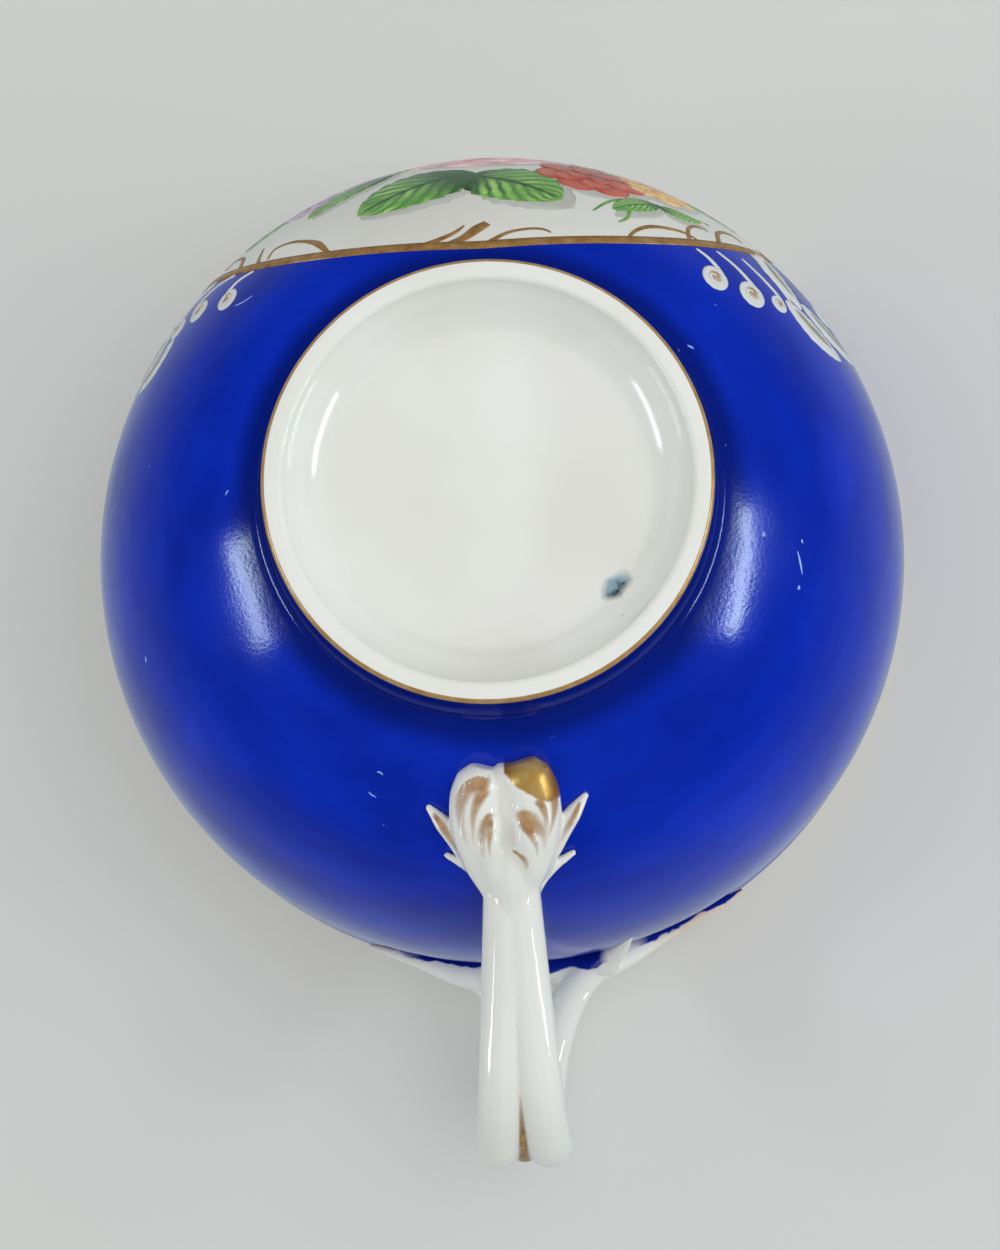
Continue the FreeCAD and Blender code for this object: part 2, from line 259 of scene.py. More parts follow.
def add_glaze(surface, smooth, ripple, grain=0.01):
    """Places the glaze group in a material and returns its drift of tone."""
    node = wire(surface, "Group", {"Smooth": smooth, "Grain": grain}, node_tree=GLAZE)
    shape = {"Height": node.outputs["Height"], "Strength": ripple, "Distance": RIPPLE_HEIGHT}
    link(node.outputs["Roughness"], surface, "Roughness")
    link(wire(surface, "Bump", shape).outputs[0], surface, "Normal")
    return node.outputs["Tone"]


print("node group:", GLAZE.name)

# %% [markdown]
# ## White porcelain
# The body is a slightly warm white under clear glaze. Inside the foot it carries pin-head specks, and one
# small blue-green kiln mark, which are drawn with distance and noise so that they stay where the clay has
# them.

# %% White finishes
WHITE = shade(229, 229, 225)
WARM_WHITE = shade(221, 221, 214)
KILN_MARK = Vector((12.37, 10.64))


def make_white_porcelain():
    """Clear-glazed white, as inside the bowl."""
    material, surface = new_finish("white_porcelain", 0.1)
    tone = add_glaze(surface, 0.06, 0.12)
    link(mixed(tone, WARM_WHITE, WHITE), surface, "Base Color")
    return material


def make_base_porcelain():
    """White with specks and a kiln mark, as under the foot."""
    material, surface = new_finish("base_porcelain", 0.1)
    tone = add_glaze(surface, 0.07, 0.15)
    colour = mixed(tone, WARM_WHITE, WHITE)
    place, (across, along, _) = place_in_mm(surface)
    cells = wire(surface, "TexVoronoi", {"Vector": place, "Scale": 230})
    pick = wire(surface, "SeparateColor", {0: cells.outputs["Color"]}).outputs[0]
    speck = maths("LESS_THAN", cells.outputs["Distance"], 0.04)
    specks = times(maths("GREATER_THAN", pick, 0.9), speck, 0.5)
    colour = mixed(specks, colour, shade(120, 118, 108))
    sideways = maths("SUBTRACT", across, KILN_MARK.x)
    lengthways = maths("SUBTRACT", along, KILN_MARK.y)
    long_way = times(maths("SUBTRACT", sideways, lengthways), 0.55)
    short_way = times(maths("ADD", sideways, lengthways), 0.8)
    reach = distance(long_way, short_way)
    mark = between(maths("MULTIPLY_ADD", noise(place, 520), 1.3, reach), 2.2, 1.45)
    spots = maths("MULTIPLY_ADD", short_way, 0.16, noise(place, 900, 4))
    ink = mixed(between(spots, 0.48, 0.68), shade(138, 166, 180), shade(34, 60, 68))
    link(mixed(mark, colour, ink), surface, "Base Color")
    return material


WHITE_PORCELAIN = make_white_porcelain()
BASE_PORCELAIN = make_base_porcelain()
print("white finishes:", WHITE_PORCELAIN.name, BASE_PORCELAIN.name)

# %% [markdown]
# ## Cobalt with a white reserve
# The painter brushed cobalt over the whole outside and left one bell-shaped field white. The edge of the
# field is one curve: it runs low across the front and climbs ever steeper at the sides. The same formula
# masks the glaze here and later guides the gold line, so the line always covers the edge of the paint.
# Round the foot the cobalt turns darker.

# %% Edge of the reserve
RESERVE_HALF_ANGLE = 49
RESERVE_FOOT = 6.6
RESERVE_CLIMB = 4.47
RESERVE_POWER = 1.577
# Heights between which the cobalt turns darker towards the foot
FOOT_DARK_EDGE = 7.1
FOOT_DARK_DEEP = 5.7


def reserve_edge(reach):
    """Angle and height of the reserve's edge; reach is 0 at its middle and grows to either side."""
    angle = math.copysign(RESERVE_HALF_ANGLE * (1 - math.exp(-abs(reach))), reach)
    return angle, RESERVE_FOOT + RESERVE_CLIMB * abs(reach) ** RESERVE_POWER


def make_cobalt_ground():
    """Brushed cobalt outside the reserve, white porcelain inside it."""
    material, surface = new_finish("cobalt_ground", 0.12)
    tone = add_glaze(surface, 0.1, 0.2, 0.09)
    place, (across, along, height) = place_in_mm(surface)
    brushed = wire(surface, "Mapping", {"Vector": place, "Scale": (1, 1, 2.2)}).outputs[0]
    cloud = between(noise(brushed, 75, 5), 0.32, 0.72)
    blue = mixed(cloud, shade(1, 35, 162), shade(2, 47, 196))
    blue = mixed(times(tone, 0.35), blue, shade(1, 30, 140))
    # The cobalt darkens in a band round the foot, between these two heights.
    darker_by_foot = times(between(height, FOOT_DARK_EDGE, FOOT_DARK_DEEP), 0.75)
    blue = mixed(darker_by_foot, blue, shade(1, 17, 96))
    nicks = between(noise(place, 820, 1), 0.775, 0.8)
    patches = between(noise(place, 60, 1), 0.6, 0.68)
    blue = mixed(times(nicks, patches, 0.75), blue, shade(150, 165, 215))
    turn = maths("ABSOLUTE", maths("ARCTAN2", across, times(along, -1)))
    share = maths("MINIMUM", maths("DIVIDE", turn, math.radians(RESERVE_HALF_ANGLE)), 0.9995)
    reach = times(maths("LOGARITHM", maths("SUBTRACT", 1, share), math.e), -1)
    climb = maths("POWER", reach, RESERVE_POWER)
    edge = maths("MULTIPLY_ADD", climb, RESERVE_CLIMB, RESERVE_FOOT)
    inside = between(maths("SUBTRACT", height, edge), -0.12, 0.12)
    white = mixed(tone, shade(214, 214, 208), shade(224, 224, 219))
    link(mixed(inside, blue, white), surface, "Base Color")
    return material


COBALT_GROUND = make_cobalt_ground()
print("reserve edge at 30 degrees or so:", [round(value, 1) for value in reserve_edge(0.95)])

# %% [markdown]
# ## Gold
# Gilders painted a thin honey gold and burnished it after the last firing. It wears first where fingers
# rub, and the glaze shows through. One group gives the wear, and the finishes use it: the lines, the
# rubbed edges of foot and lip, and the thin wash whose strokes fade out towards their ends.


# %% Gold group and finishes
def make_worn_gold():
    """Node group that gives the gold's colour and where it's rubbed away."""
    values = {"Colour": "Color", "Wear": "Float"}
    group, entry, leave = new_group("worn_gold", {"Dark": "Color", "Light": "Color"}, values)
    place = object_place(group)
    grain = between(noise(place, 900, 4), 0.3, 0.7)
    link(mixed(grain, entry["Dark"], entry["Light"]), leave, "Colour")
    link(between(noise(place, 420, 3), 0.56, 0.7), leave, "Wear")
    return group


WORN_GOLD = make_worn_gold()
BARE_GLAZE = shade(205, 196, 178)


def add_gold(owner, dark, light):
    """Places the gold group in a material and returns its colour and its wear."""
    return wire(owner, "Group", {"Dark": dark, "Light": light}, node_tree=WORN_GOLD).outputs


def make_gold(name, dark, light, roughness, metallic, worn):
    """A gold finish; worn is how much glaze shows where it's rubbed."""
    material, surface = new_finish(name, roughness, metallic)
    colour, wear = add_gold(surface, dark, light)
    link(mixed(times(wear, worn), colour, BARE_GLAZE), surface, "Base Color")
    return material


def make_gold_wash(name, dark, light, fade_from, strength):
    """Thin gold that thins out at the stroke's sides and, after fade_from, towards its end."""
    material, surface = new_finish(name, 0.35)
    colour, wear = add_gold(surface, dark, light)
    along, across = place_on_mark(surface)
    sides = between(away(across, 0.5), 0.5, 0.175)
    start = between(along, 0, 0.12)
    end = between(along, 1, fade_from)
    kept = times(sides, start, end, maths("MULTIPLY_ADD", wear, -0.4, strength))
    link(colour, surface, "Base Color")
    link(kept, surface, "Alpha")
    return material


GILDING = make_gold("gilding", shade(146, 104, 54), shade(190, 146, 82), 0.3, 0.3, 0.2)
RUBBED_GOLD = make_gold("rubbed_gold", shade(180, 140, 86), shade(206, 168, 110), 0.28, 0.35, 0.25)
TAN_WASH = make_gold_wash("tan_wash", shade(166, 116, 62), shade(200, 158, 106), 0.2, 0.78)
GROOVE_WASH = make_gold_wash("groove_wash", shade(146, 108, 56), shade(196, 156, 92), 0.7, 1)
print("gold finishes:", GILDING.name, RUBBED_GOLD.name, TAN_WASH.name, GROOVE_WASH.name)

# %% [markdown]
# ## Bowl and foot
# The potter threw the bowl and turned the foot on a wheel, so the whole body is one profile spun round its
# axis. The profile is a chain of straight lines and arcs, listed from the middle of the base outwards,
# round the lip and back to the middle of the floor. The lip gets a bevel, which is what glaze does to an
# edge.


# %% New pieces and arcs
def new_object(name, bm, *materials):
    """Turns a bmesh in millimetres into an object of the scene."""
    bmesh.ops.scale(bm, vec=(MM, MM, MM), verts=bm.verts)
    mesh = bpy.data.meshes.new(name)
    bm.to_mesh(mesh)
    bm.free()
    for material in materials:
        mesh.materials.append(material)
    thing = bpy.data.objects.new(name, mesh)
    bpy.context.scene.collection.objects.link(thing)
    print(name, "has", len(mesh.polygons), "faces")
    return thing


def new_piece(name, bm, *materials):
    """A smooth piece of the cup, from a bmesh in millimetres."""
    piece = new_object(name, bm, *materials)
    piece.data.shade_smooth()
    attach(piece, "root")
    return piece


def arc(start, end, radius, side, steps):
    """Points after start on an arc to end; the centre lies left of the way for side 1, right for -1."""
    start, end = Vector(start), Vector(end)
    way = end - start
    left = Vector((-way.y, way.x)).normalized() * side
    centre = (start + end) / 2 + left * math.sqrt(radius**2 - (way.length / 2) ** 2)
    spoke = start - centre
    sweep = spoke.angle_signed(end - centre)
    turned = []
    for step in range(1, steps + 1):
        angle = -sweep * step / steps
        turned.append(centre + Matrix.Rotation(angle, 2) @ spoke)
    return turned


print("points on a quarter circle in 8 steps:", len(arc((1, 0), (0, 1), 1, 1, 8)))

# %% Profile of the body
BASE_DISC = [(0, 5.4), (6, 5.36), (12, 5.2), (15.2, 5.02), (16.28, 4.92)]
LAND_ROUND = 0.6
WALL_START = 5.25
INNER_RADIUS = 46.4
FLOOR_HEIGHT = 8.6
# A leg ends at a radius and a height; one that bends also has an arc's radius, side and steps
LEGS = [
    ((16.87, 4.72), 1.3, -1, 4),
    ((20.3, LAND_ROUND), 9, -1, 12),
    ((20.9, 0), LAND_ROUND, 1, 5),
    ((21.9, 0),),
    ((22.5, LAND_ROUND), LAND_ROUND, 1, 5),
    ((23.35, 4.65), 6, -1, 12),
    ((23.2, 4.95),),
    ((wall_radius(WALL_START), WALL_START),),
    ((BOWL_RADIUS, BOWL_CENTRE.z), BOWL_RADIUS, 1, 64),
    ((50, RIM_HEIGHT), FLARE_RADIUS, -1, 12),
    ((48.5, RIM_HEIGHT),),
    ((INNER_RADIUS, BOWL_CENTRE.z), 16.29, 1, 12),
    ((28.9, 11.65), INNER_RADIUS, -1, 32),
    ((20.18, FLOOR_HEIGHT), 14, -1, 8),
    ((10, FLOOR_HEIGHT),),
    ((0, FLOOR_HEIGHT),),
]
profile = [Vector(spot) for spot in BASE_DISC]
start = BASE_DISC[-1]
for end, *bow in LEGS:
    profile += arc(start, end, *bow) if bow else [Vector(end)]
    start = end
print("points in the profile:", len(profile))

# %% Spin the body
TURNS = 224
LIP_BEVEL = 0.55
NEAR = 0.001
bm = bmesh.new()
chain = [bm.verts.new((point.x, 0, point.y)) for point in profile]
for first, second in zip(chain, chain[1:]):
    bm.edges.new((first, second))
corners = [vert for vert in chain if abs(vert.co.z - RIM_HEIGHT) < NEAR]
bmesh.ops.bevel(bm, geom=corners, offset=LIP_BEVEL, segments=4, profile=0.5, affect="VERTICES", material=-1)
line = bm.verts[:] + bm.edges[:]
bmesh.ops.spin(bm, geom=line, cent=(0, 0, 0), axis=(0, 0, 1), angle=math.tau, steps=TURNS, use_merge=True)
bmesh.ops.remove_doubles(bm, verts=bm.verts, dist=NEAR)
bmesh.ops.recalc_face_normals(bm, faces=bm.faces)
print("faces of the body:", len(bm.faces))

# %% Finishes of the body
LIP_BAND = 0.9
INNER_BAND = 1.3
FOOT_LINE = 0.85
BASE_RADIUS = 22.05
BASE_TOP = SEAT + 0.6
FOOT_TOP_LINE = SEAT + 0.4
WALL_SKIN = 0.75
BASE_FACE, COBALT_FACE, GOLD_FACE, WHITE_FACE = range(4)


def body_finish(middle):
    """Which of the body's finishes a face takes, by its middle."""
    radius = math.hypot(middle.x, middle.y)
    if middle.z < BASE_TOP and radius < BASE_RADIUS:
        return BASE_FACE
    if middle.z < FOOT_LINE:
        return GOLD_FACE
    outside = middle.z < FOOT_TOP_LINE or radius > wall_radius(middle.z) - WALL_SKIN
    if middle.z > RIM_HEIGHT - (LIP_BAND if outside else INNER_BAND):
        return GOLD_FACE
    return COBALT_FACE if outside else WHITE_FACE


for face in bm.faces:
    face.material_index = body_finish(face.calc_center_median())
cup_body = new_piece("cup_body", bm, BASE_PORCELAIN, COBALT_GROUND, RUBBED_GOLD, WHITE_PORCELAIN)
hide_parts("bowl", "foot_ring")

# %% [markdown]
# ## Handle and leaf
# The handle was pressed and then modelled by hand: a stem of two strands grows out of a leaf, bends, and
# forks to the rim. The glaze has rounded every crease. Curves with a round section give the strands, a
# voxel remesh fuses them into one skin, and a little smoothing softens the creases as the glaze does.


# %% Strand helpers
def add_strand(curve, stops):
    """One strand through stops of (point, radius), or (point, radius, handle in, handle out)."""
    spline = curve.splines.new("BEZIER")
    spline.bezier_points.add(len(stops) - 1)
    for knot, (point, radius, *handles) in zip(spline.bezier_points, stops):
        knot.co = point
        knot.radius = radius
        knot.handle_left_type = knot.handle_right_type = "FREE" if handles else "AUTO"
        if handles:
            knot.handle_left, knot.handle_right = handles


def on_leaf(across, polar, lift):
    """A point over the bowl's lower wall on the handle's side; polar is the angle from straight down."""
    radius = BOWL_RADIUS + lift
    turn = math.radians(polar)
    outward = math.sqrt(max((radius * math.sin(turn)) ** 2 - across**2, 0))
    return Vector((across, outward, BOWL_CENTRE.z - radius * math.cos(turn)))


strands = bpy.data.curves.new("strands", "CURVE")
strands.dimensions = "3D"
strands.bevel_depth = 1
strands.bevel_resolution = 6
strands.resolution_u = 20
strands.use_fill_caps = True
print("strands start with a round section:", strands.bevel_depth)

# %% Strands of the stem and the fork
LEAN = 0.45
BEND_OUT = 70
BEND_HEIGHT = 46.45
root = Vector((LEAN, 32.1, 12.9))
LANDINGS = {
    1: [(10.8, 49.4, 51.55), (4.3, 50.7, 51.55), (17.5, 46.7, 52.1), (28.2, 41.4, 53.4)],
    -1: [(-5.9, 50.25, 51.55), (0.3, 50.95, 51.55), (-11.85, 48.6, 52), (-18.5, 46.4, 53)],
}
for side, stops in LANDINGS.items():
    landing, before, tip, end = [Vector(stop) for stop in stops]
    bend = Vector((3.25 * side, BEND_OUT, BEND_HEIGHT))
    below, above = Vector((2.2 * side, BEND_OUT, 34.45)), Vector((0.6 * side, 68.1, 54.45))
    add_strand(strands, [
        (root, 2.4, root, Vector((LEAN + 0.9 * side, 44.8, 18.8))),
        (bend, 2.85, below, above),
        (landing, 2, before, landing + (landing - before) * 0.3),
        (tip, 1, tip - (tip - landing) * 0.3, tip + (tip - landing) * 0.2),
        (end, 0.4, end - (end - tip) * 0.3, end),
    ])
CORE = [
    (root, 2.6, root, (LEAN, 44.8, 18.8)),
    ((0, 70.4, BEND_HEIGHT), 1.7, (0, 69.3, 36), (0, 70.45, 48.3)),
    ((0, 69.3, 50), 1.5, (0, 69.9, 49.2), (0, 69.1, 50.4)),
]
FORK_WEB = [((-5.9, 50.2, 51.6), 1.5), ((2.4, 50.4, 52.4), 1.7), ((10.8, 49.4, 51.6), 1.5)]
ARM_LEAF = [((10.5, 49.5, 50.2), 1.7), ((12.1, 47.8, 46), 1.15), ((13.6, 46, 39.2), 0.3)]
for stops in (CORE, FORK_WEB, ARM_LEAF):
    add_strand(strands, stops)
print("strands in the stem and the fork:", len(strands.splines))

# %% Petals of the leaf
PETALS = {
    "lobe": [
        (1.4, 52, 1.6, 1.6), (2.5, 46.5, 1.2, 2.3), (2.9, 41.5, 1.1, 2.7),
        (2.6, 37.8, 1.1, 2.8), (2.15, 35.4, 0.9, 2.4), (1.8, 34, 0.5, 1.3),
    ],
    "inner": [
        (1.2, 52, 2, 1.1), (1.9, 47.5, 2.6, 1.3), (1.95, 43.5, 3, 1.3),
        (1.8, 40.6, 3.1, 1.15), (1.6, 38.9, 2.8, 0.6),
    ],
    "side": [(2.9, 51, 1.2, 1), (4.7, 46.5, 0.6, 1.15), (6.6, 43, 0.4, 0.95), (8.2, 40.6, 0.3, 0.35)],
    "leaflet": [(2.2, 54, 1.2, 0.8), (3.6, 51.6, 0.6, 0.8), (6.8, 49.2, 0.3, 0.35)],
}
LEFT_DROP = {"lobe": 0.5, "inner": 0.3, "side": 0.5, "leaflet": -0.7}
LEFT_SPREAD = {"lobe": 0.35, "inner": 0, "side": 0, "leaflet": 0}
for name, stops in PETALS.items():
    rights, lefts = [], []
    for across, polar, lift, radius in stops:
        rights.append((on_leaf(LEAN + across, polar, lift), radius))
        spread, drop = LEAN - across - LEFT_SPREAD[name], polar + LEFT_DROP[name]
        lefts.append((on_leaf(spread, drop, lift), radius))
    add_strand(strands, rights)
    add_strand(strands, lefts)
HEART_NECK = [((LEAN, 44.5, 19.7), 2.2), ((LEAN, 40.9, 17.5), 2.7)]
HEART = [(48.5, 1.5, 2.6), (44, 0.9, 2.3), (40, 0.8, 2.3), (37, 0.6, 2.1), (35.3, 0.5, 1.6), (34.4, 0.4, 0.8)]
add_strand(strands, HEART_NECK + [(on_leaf(LEAN, polar, lift), radius) for polar, lift, radius in HEART])
print("strands in the handle:", len(strands.splines))

# %% [markdown]
# ## One skin over the strands
# The remesh gives one closed skin. Where it runs into the bowl it is held inside the wall's thickness, so
# that nothing shows in the cup. A search tree of that skin is kept, because the gold on the leaf is laid
# on it later.

# %% Fuse the strands
VOXEL = 0.25
KEEP_IN_WALL = 1.8
KEEP_IN_RIM = 1


def evaluated_mesh(scratch):
    """The mesh that a scratch object's modifiers give; the object is then removed."""
    bpy.context.scene.collection.objects.link(scratch)
    graph = bpy.context.evaluated_depsgraph_get()
    mesh = bpy.data.meshes.new_from_object(scratch.evaluated_get(graph))
    bpy.data.objects.remove(scratch)
    return mesh


tubes = bpy.data.objects.new("tubes", evaluated_mesh(bpy.data.objects.new("strands", strands)))
skin = tubes.modifiers.new("skin", "REMESH")
skin.mode = "VOXEL"
skin.voxel_size = VOXEL
soften = tubes.modifiers.new("soften", "SMOOTH")
soften.factor = 0.5
soften.iterations = 6
bm = bmesh.new()
bm.from_mesh(evaluated_mesh(tubes))
for vert in bm.verts:
    spoke = vert.co - BOWL_CENTRE
    if vert.co.z < BOWL_CENTRE.z and spoke.length < BOWL_RADIUS - KEEP_IN_WALL:
        vert.co = BOWL_CENTRE + spoke.normalized() * (BOWL_RADIUS - KEEP_IN_WALL)
    elif vert.co.z >= BOWL_CENTRE.z and math.hypot(*vert.co.xy) < wall_radius(vert.co.z) - KEEP_IN_RIM:
        vert.co = drop_on_wall(vert.co, -KEEP_IN_RIM)
bmesh.ops.recalc_face_normals(bm, faces=bm.faces)
handle_tree = BVHTree.FromBMesh(bm)
print("faces of the handle's skin:", len(bm.faces))

# %% [markdown]
# ## Finish of the handle
# The handle is white, but brushes strayed onto it. Cobalt ran onto the arms where they meet the rim, the
# arms' ends are rubbed tan, and the right lobe of the leaf wears a burnished gold cap. The cap carries a
# painted highlight along its middle and painted shade towards its sides. All of them follow the skin's
# place on the cup, so one material with masks from Object coordinates holds them.

# %% Masks for the handle
CAP_START = 34.7
CAP_SLOPE = 0.72
# Across the cap, its painted highlight lies along this line, and painted shade darkens it to either side
CAP_HIGHLIGHT_MIDDLE = 2.9
CAP_ENDS = ((0.3, 0.5), (6.3, 6.1))
CAP_METAL = 0.65
CAP_ROUGH = 0.34


def strayed_cobalt(place, across, height, reach):
    """Where the cobalt brush ran onto the arms at the rim and onto the right arm's tip."""
    radius = maths("MULTIPLY_ADD", noise(place, 260, 3), -2.4, reach)
    inward = maths("MULTIPLY_ADD", between(across, 0, 2), -1.1, radius)
    right_end, left_end = between(across, 12.5, 11), between(across, -16, -12)
    at_rim = between(height, 46.5, 48)
    root_run = times(between(inward, 48.45, 48.25), right_end, left_end, at_rim)
    tip_run = times(between(across, 14, 16), between(radius, 48.9, 48.7))
    return maths("MAXIMUM", root_run, tip_run)


def gold_cap(place, across, height, reach):
    """Where the right lobe of the leaf is gold: up to a slanting limit of the angle from straight down."""
    depth = maths("SUBTRACT", BOWL_CENTRE.z, height)
    polar = maths("DEGREES", maths("ARCTAN2", reach, depth))
    polar = maths("MULTIPLY_ADD", noise(place, 1500, 3), 0.5, polar)
    limit = maths("MULTIPLY_ADD", across, CAP_SLOPE, CAP_START)
    ends = [between(across, low, high) for low, high in CAP_ENDS]
    return times(between(maths("SUBTRACT", limit, polar), -0.15, 0.15), *ends)


print("the gold cap starts at", CAP_START, "degrees from straight down")


# %% Handle porcelain
def make_handle_porcelain():
    """White porcelain, strayed cobalt, tan arm ends and a right-lobe gold cap with painted highlight and
    shade.
    """
    material, surface = new_finish("handle_porcelain", 0.1)
    tone = add_glaze(surface, 0, 0.15)
    place, (across, along, height) = place_in_mm(surface)
    reach = distance(across, along)
    white = mixed(tone, shade(219, 219, 213), shade(228, 228, 224))
    rubbed = times(between(maths("ABSOLUTE", across), 15, 21), 0.55)
    colour = mixed(rubbed, white, shade(200, 160, 118))
    blue = strayed_cobalt(place, across, height, reach)
    colour = mixed(blue, colour, shade(10, 34, 140))
    cap = gold_cap(place, across, height, reach)
    gold, _ = add_gold(surface, shade(236, 182, 94), shade(255, 222, 144))
    # Painted highlight and shade: lighter gold along the cap's middle, darker brown towards its sides.
    gold = mixed(between(away(across, CAP_HIGHLIGHT_MIDDLE), 0.9, 2.6), gold, shade(180, 120, 50))
    link(mixed(cap, colour, gold), surface, "Base Color")
    link(times(cap, CAP_METAL), surface, "Metallic")
    glossy = surface.inputs["Roughness"].links[0].from_socket
    link(maths("MULTIPLY_ADD", cap, CAP_ROUGH, glossy), surface, "Roughness")
    return material


handle_branch = new_piece("handle_branch", bm, make_handle_porcelain())
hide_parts("handle_stem", "handle_arm_right", "handle_arm_left", "arm_leaf_right")
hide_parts("leaf_lobe_right", "leaf_lobe_left", "side_leaf_right", "side_leaf_left")
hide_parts("leaflet_right", "leaflet_left")

# %% [markdown]
# ## Laying paint
# Enamel and gold stand a hair above the glaze. Each brush mark is a grid bent to an outline, dropped on
# the wall, and extruded to a thin closed patch. A mark is either a blade, from a base to a tip, or a
# stroke along a curved path. The grid's own UV map runs along and across the mark, which lets a finish
# follow the brush.


# %% Outlines of brush marks
def through(stops, share):
    """Value at a share of the way along evenly spaced stops, on a smooth curve."""
    place = min(max(share, 0), 1) * (len(stops) - 1)
    index = min(int(place), len(stops) - 2)
    rest = place - index
    before, first = stops[max(index - 1, 0)], stops[index]
    second, after = stops[index + 1], stops[min(index + 2, len(stops) - 1)]
    slope_in, slope_out = (second - before) * 0.5, (after - first) * 0.5
    cube, square = rest**3, rest**2
    value = first * (2 * cube - 3 * square + 1) + second * (3 * square - 2 * cube)
    return value + slope_in * (cube - 2 * square + rest) + slope_out * (cube - square)


def blade(base, tip, width, shape, bend=0):
    """Outline of a petal or leaf between two spots on the wall."""
    spine = tip - base
    side = spine.cross((base + tip) / 2 - BOWL_CENTRE).normalized()

    def outline(along, across):
        half = width / 2 * max(shape(along), 0.04)
        return base + spine * along + side * (half * across + bend * math.sin(math.pi * along))

    return outline


def stroke(spots, widths):
    """Outline of a brush stroke through spots, with its widths from start to end."""

    def outline(along, across):
        here = through(spots, along)
        way = through(spots, along + 0.01) - through(spots, along - 0.01)
        side = way.cross(here - BOWL_CENTRE).normalized()
        return here + side * (max(through(widths, along), 0.05) / 2 * across)

    return outline


def wall_stroke(spots, widths):
    """A stroke on the wall, through spots given as an angle and a height."""
    return stroke([on_wall(*spot) for spot in spots], widths)


print("halfway through 0, 1, 4:", through([0, 1, 4], 0.5))


# %% Laying brush marks
def new_paint():
    """An empty bmesh with the UV layer that brush marks need."""
    bm = bmesh.new()
    bm.loops.layers.uv.new("UVMap")
    return bm


def lay(bm, outline, drop=drop_on_wall, along=10, across=3, lift=0.05, sink=0.2):
    """Adds one closed brush mark to a bmesh."""
    grid = bmesh.ops.create_grid(bm, x_segments=along, y_segments=across, size=1, calc_uvs=True)["verts"]
    for vert in grid:
        vert.co = drop(outline((vert.co.x + 1) / 2, vert.co.y), -sink)
    faces = {face for vert in grid for face in vert.link_faces}
    raised = bmesh.ops.extrude_face_region(bm, geom=list(faces))["geom"]
    for vert in raised:
        if isinstance(vert, bmesh.types.BMVert):
            vert.co = drop(vert.co, lift)


def finish_paint(name, bm, material):
    """Turns the laid marks into one piece."""
    bmesh.ops.recalc_face_normals(bm, faces=bm.faces)
    return new_piece(name, bm, material)


LEAF_TEETH = 7
LEAF_TOOTH = 0.12


def round_shape(along):
    """Half-width of a round mark along its length."""
    return math.sqrt(max(1 - (2 * along - 1) ** 2, 0))


def leaf_shape(along):
    """Half-width of a leaf: full near its base, pointed at its tip, with a toothed edge."""
    tooth = 1 - LEAF_TOOTH * (along * LEAF_TEETH % 1)
    return math.sin(math.pi * along**0.8) ** 0.62 * tooth


def petal_shape(along):
    """Half-width of a petal: narrow at its base, round at its tip."""
    return math.sin(math.pi * (0.12 + 0.83 * along)) ** 0.6 * (0.45 + 0.55 * along)


print("half-widths in the middle:", round_shape(0.5), round(leaf_shape(0.5), 2), round(petal_shape(0.5), 2))

# %% [markdown]
# ## The gold line and its flourishes
# A gold line covers the edge of the reserve. On its white side the gilder added small strokes: arches near
# the corners, a paddle-shaped leaf in the middle and thin curls. They are strokes through a few spots
# each, as one pull of the brush makes them, given as an angle and a height on the wall.

# %% Gold line
LINE_WIDTH = 1.25
LINE_REACH = 4.5
HALF_STEPS = 40
FLOURISHES = [
    (
        [(-38.8, 17.2), (-36.6, 18.2), (-34, 17), (-32.2, 15.3), (-30.8, 13.4), (-30.5, 11.2)],
        [0.25, 0.4, 0.45, 0.5, 0.8, 0.5],
    ),
    ([(-37.5, 20.9), (-39.6, 18.9), (-40.6, 17.6)], [0.2, 0.45, 0.6]),
    ([(-14.5, 7.4), (-10, 7.5), (-5.6, 8), (-3.2, 8.7)], [0.6, 0.7, 0.5, 0.2]),
    ([(-7, 7), (-3.4, 7.4), (-0.6, 8.2), (1.6, 8.8)], [0.7, 1, 1.3, 1]),
    ([(2.4, 6.9), (6, 7.8), (10.1, 8.4), (13.2, 8.6), (15, 8.4)], [0.6, 0.45, 0.35, 0.35, 0.15]),
    (
        [(29.4, 10.4), (29.7, 12.2), (31.2, 13.9), (33.8, 15.3), (36.4, 16.4), (38.9, 16.6)],
        [0.3, 0.45, 0.6, 0.6, 0.45, 0.3],
    ),
    ([(38.7, 15.2), (36.9, 16.6), (36.1, 18.2), (36.9, 19.8), (38.6, 20.2)], [0.6, 0.5, 0.45, 0.4, 0.15]),
    ([(41.2, 19.4), (39.5, 22), (40.4, 25), (42.6, 25.6)], [0.6, 0.6, 0.45, 0.15]),
    ([(-42.6, 21), (-40.6, 23.6), (-41, 26.6), (-43.2, 27.4)], [0.6, 0.6, 0.45, 0.15]),
    ([(46, 31), (43.4, 34), (42.6, 38), (44.4, 41)], [0.6, 0.7, 0.5, 0.15]),
    ([(-46, 31), (-43.4, 34), (-42.6, 38), (-44.4, 41)], [0.6, 0.7, 0.5, 0.15]),
]
reaches = [LINE_REACH * (step / HALF_STEPS - 1) for step in range(2 * HALF_STEPS + 1)]
bm = new_paint()
edge_line = wall_stroke([reserve_edge(reach) for reach in reaches], [LINE_WIDTH] * 2)
lay(bm, edge_line, along=6 * HALF_STEPS, across=2, lift=0.06)
for spots, widths in FLOURISHES:
    lay(bm, wall_stroke(spots, widths), along=16)
gold_border = finish_paint("gold_border", bm, GILDING)

# %% [markdown]
# ## Scrolls on the cobalt
# Beside the reserve, white scrolls with tan hearts stand on the blue: round volutes on thin stems, and
# long leaves with a grey streak. White goes on first, then a thin tan heart inside each volute, and a
# white curl over it.


